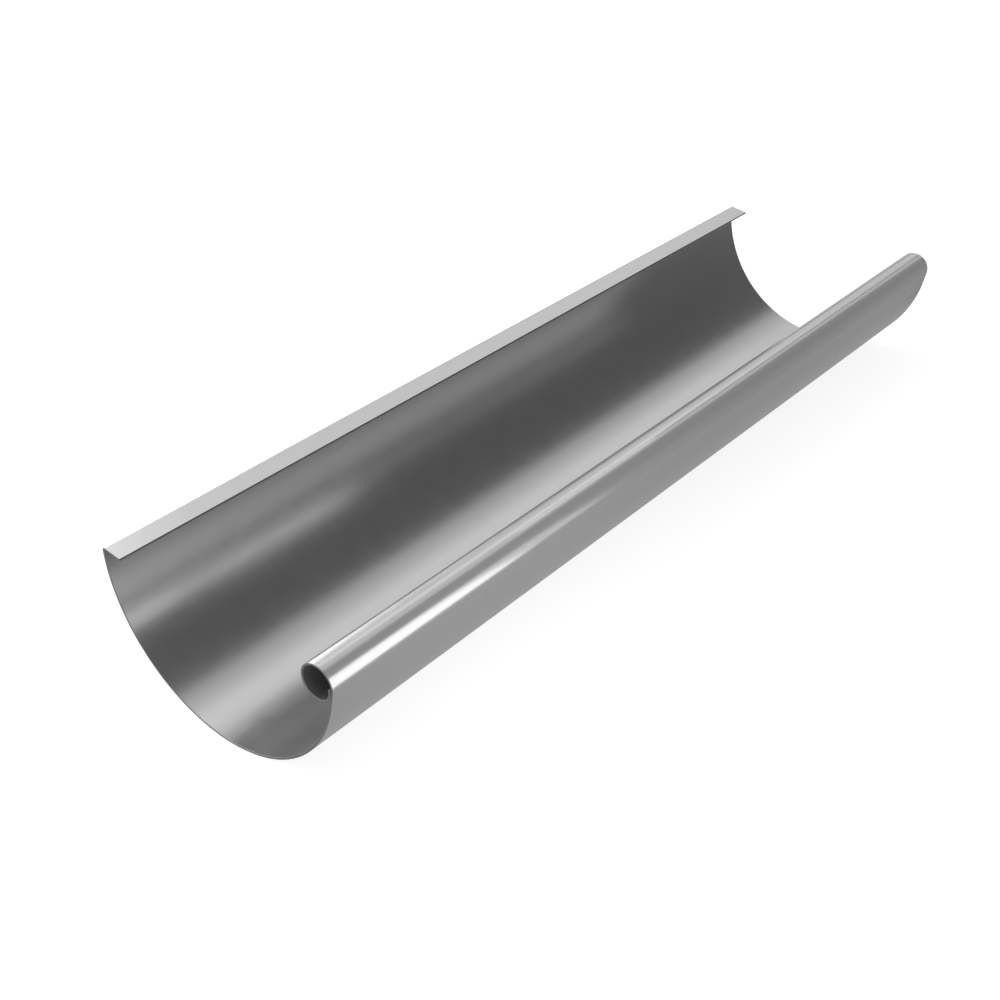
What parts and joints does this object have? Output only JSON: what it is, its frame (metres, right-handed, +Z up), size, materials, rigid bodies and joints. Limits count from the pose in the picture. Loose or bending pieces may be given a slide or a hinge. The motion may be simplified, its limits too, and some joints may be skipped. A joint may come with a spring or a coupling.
{
  "type": "gutter section",
  "caption": "Straight length of half-round metal eaves gutter with a rolled front bead, a tucked lip and a narrow folded rear flange, open at both ends.",
  "frame": {"origin": "middle of the gutter's box at floor level, with the gutter rolled about X to where it lies by itself", "axes": "+X along the gutter, bead on the -Y side, +Z up from the floor on which it lies"},
  "size_m": [0.563, 0.153, 0.0946],
  "materials": {
    "sheet": "satin face of skin-passed, zinc-coated steel sheet"
  },
  "bodies": {
    "root": {"gutter": "sheet"}
  },
  "joints": []
}
